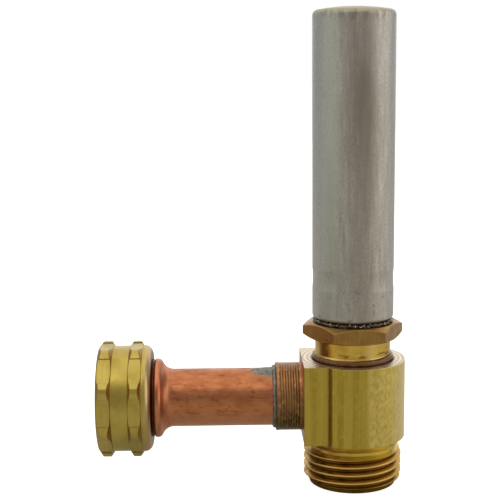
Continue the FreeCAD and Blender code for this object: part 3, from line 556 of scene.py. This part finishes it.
def make_sealant():
    """The bead under the chamber and the smear round the neck's foot."""
    upright = (0, 0, 0)
    bead_height = HEX_TOP + 0.4 * (SHELL_MOUTH - HEX_TOP)
    bead = squeezed_ring("chamber_bead", (0, 0, bead_height), upright, radius=10.15 * MM,
                         section=0.72 * MM, squash=0.75, lump_size=0.45 * MM,
                         lump_height=0.26 * MM)
    place_ring(bead, pipe_sealant(), "chamber_sealant")
    smear_height = TEE_TOP + 0.6 * MM
    smear = squeezed_ring("neck_smear", (0, 0, smear_height), upright, radius=10.5 * MM,
                          section=0.62 * MM, squash=1.35, lump_size=1.6 * MM,
                          lump_height=0.16 * MM)
    place_ring(smear, smeared_sealant(), "thread_sealant")


def make_solder():
    """The fillet where the tube enters the boss, and the run on top of the tube."""
    along_branch = (0, math.pi / 2, 0)
    solder = soft_solder()
    fillet = squeezed_ring("solder_fillet", (BOSS_END - 0.25 * MM, 0, BRANCH_HEIGHT),
                           along_branch, radius=TUBE_RADIUS + 0.12 * MM, section=0.6 * MM,
                           squash=1.15, lump_size=1.8 * MM, lump_height=0.16 * MM)
    place_ring(fillet, solder, "solder_joint")
    run = solder_run()
    run.data.materials.append(solder)
    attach(run, "tee")


# ---------------------------------------------------------------- studio

def make_floor():
    """A pale sweep that reads as white paper, with only a soft shadow on it."""
    bpy.ops.object.select_all(action="DESELECT")
    bpy.ops.mesh.primitive_circle_add(vertices=96, radius=6, fill_type="NGON",
                                      location=(0, 0, -0.02 * MM))
    floor = bpy.context.object
    floor.name = "floor"
    material, tree, shader = new_material("pale_floor", 0.0)
    shader.inputs["Roughness"].default_value = 0.9
    shader.inputs["Base Color"].default_value = linear("#c8c8be")
    shader.inputs["Specular IOR Level"].default_value = 0.1
    shader.inputs["Emission Color"].default_value = linear("#ffffff")
    glow = add(tree, "Math", {0: add(tree, "LightPath", out="Is Camera Ray"), 1: 0.82},
               operation="MULTIPLY")
    tree.links.new(glow, shader.inputs["Emission Strength"])
    floor.data.materials.append(material)


def softbox(name, place, target, width, height, radiance, tint):
    """A rectangular softbox of a given brightness, hidden from the camera itself."""
    lamp = bpy.data.lights.new(name, "AREA")
    lamp.shape = "RECTANGLE"
    lamp.size = width
    lamp.size_y = height
    lamp.energy = radiance * math.pi * width * height
    lamp.color = linear(tint)[:3]
    box = bpy.data.objects.new(name, lamp)
    bpy.context.scene.collection.objects.link(box)
    box.location = place
    box.rotation_euler = (Vector(target) - Vector(place)).to_track_quat("-Z", "Y").to_euler()
    box.visible_camera = False


def light_studio():
    """Broad soft light from every side, a small warm key, and a bright even room."""
    middle = (-0.02, 0, 0.05)
    softbox("overhead_softbox", (-0.05, 0.15, 1.0), middle, 2.2, 1.8, 0.85, "#fff8f3")
    softbox("key_softbox", (-0.15, -0.55, 0.75), middle, 0.4, 0.3, 1.0, "#fff3ea")
    softbox("left_softbox", (-0.95, -0.3, 0.3), middle, 0.8, 0.9, 1.0, "#f4f8f8")
    softbox("right_softbox", (0.95, -0.2, 0.35), middle, 1.0, 0.9, 1.3, "#fbfaf8")
    softbox("back_softbox", (0.1, 1.3, 0.45), middle, 2.0, 0.9, 0.85, "#fbfbf8")
    world = bpy.data.worlds.new("studio")
    bpy.context.scene.world = world
    world.use_nodes = True
    tree = world.node_tree
    tree.nodes.clear()
    seen = add(tree, "Background", {"Color": linear("#ffffff"), "Strength": 1.0})
    room = add(tree, "Background", {"Color": linear("#f4f6f8"), "Strength": 0.43})
    to_camera = add(tree, "LightPath", out="Is Camera Ray")
    both = add(tree, "MixShader", {0: to_camera, 1: room, 2: seen})
    add(tree, "OutputWorld", {"Surface": both}, None)


def set_camera():
    """A long lens a little above the branch, turned slightly to the left of the front."""
    camera = bpy.data.cameras.new("camera")
    camera.sensor_width = 36
    camera.lens = 82.8
    stand = bpy.data.objects.new("camera", camera)
    bpy.context.scene.collection.objects.link(stand)
    place = (-0.0327, -0.3088, 0.1148)
    turn, tilt, roll = math.radians(-0.86), math.radians(9.11), math.radians(0.52)
    aim = (Matrix.Rotation(turn, 4, "Z") @ Matrix.Rotation(math.pi / 2 - tilt, 4, "X")
           @ Matrix.Rotation(-roll, 4, "Z"))
    stand.matrix_world = Matrix.Translation(place) @ aim
    bpy.context.scene.camera = stand
    bpy.context.scene.view_settings.view_transform = "Standard"


finish_nodes()
make_sealant()
make_solder()
make_floor()
light_studio()
set_camera()
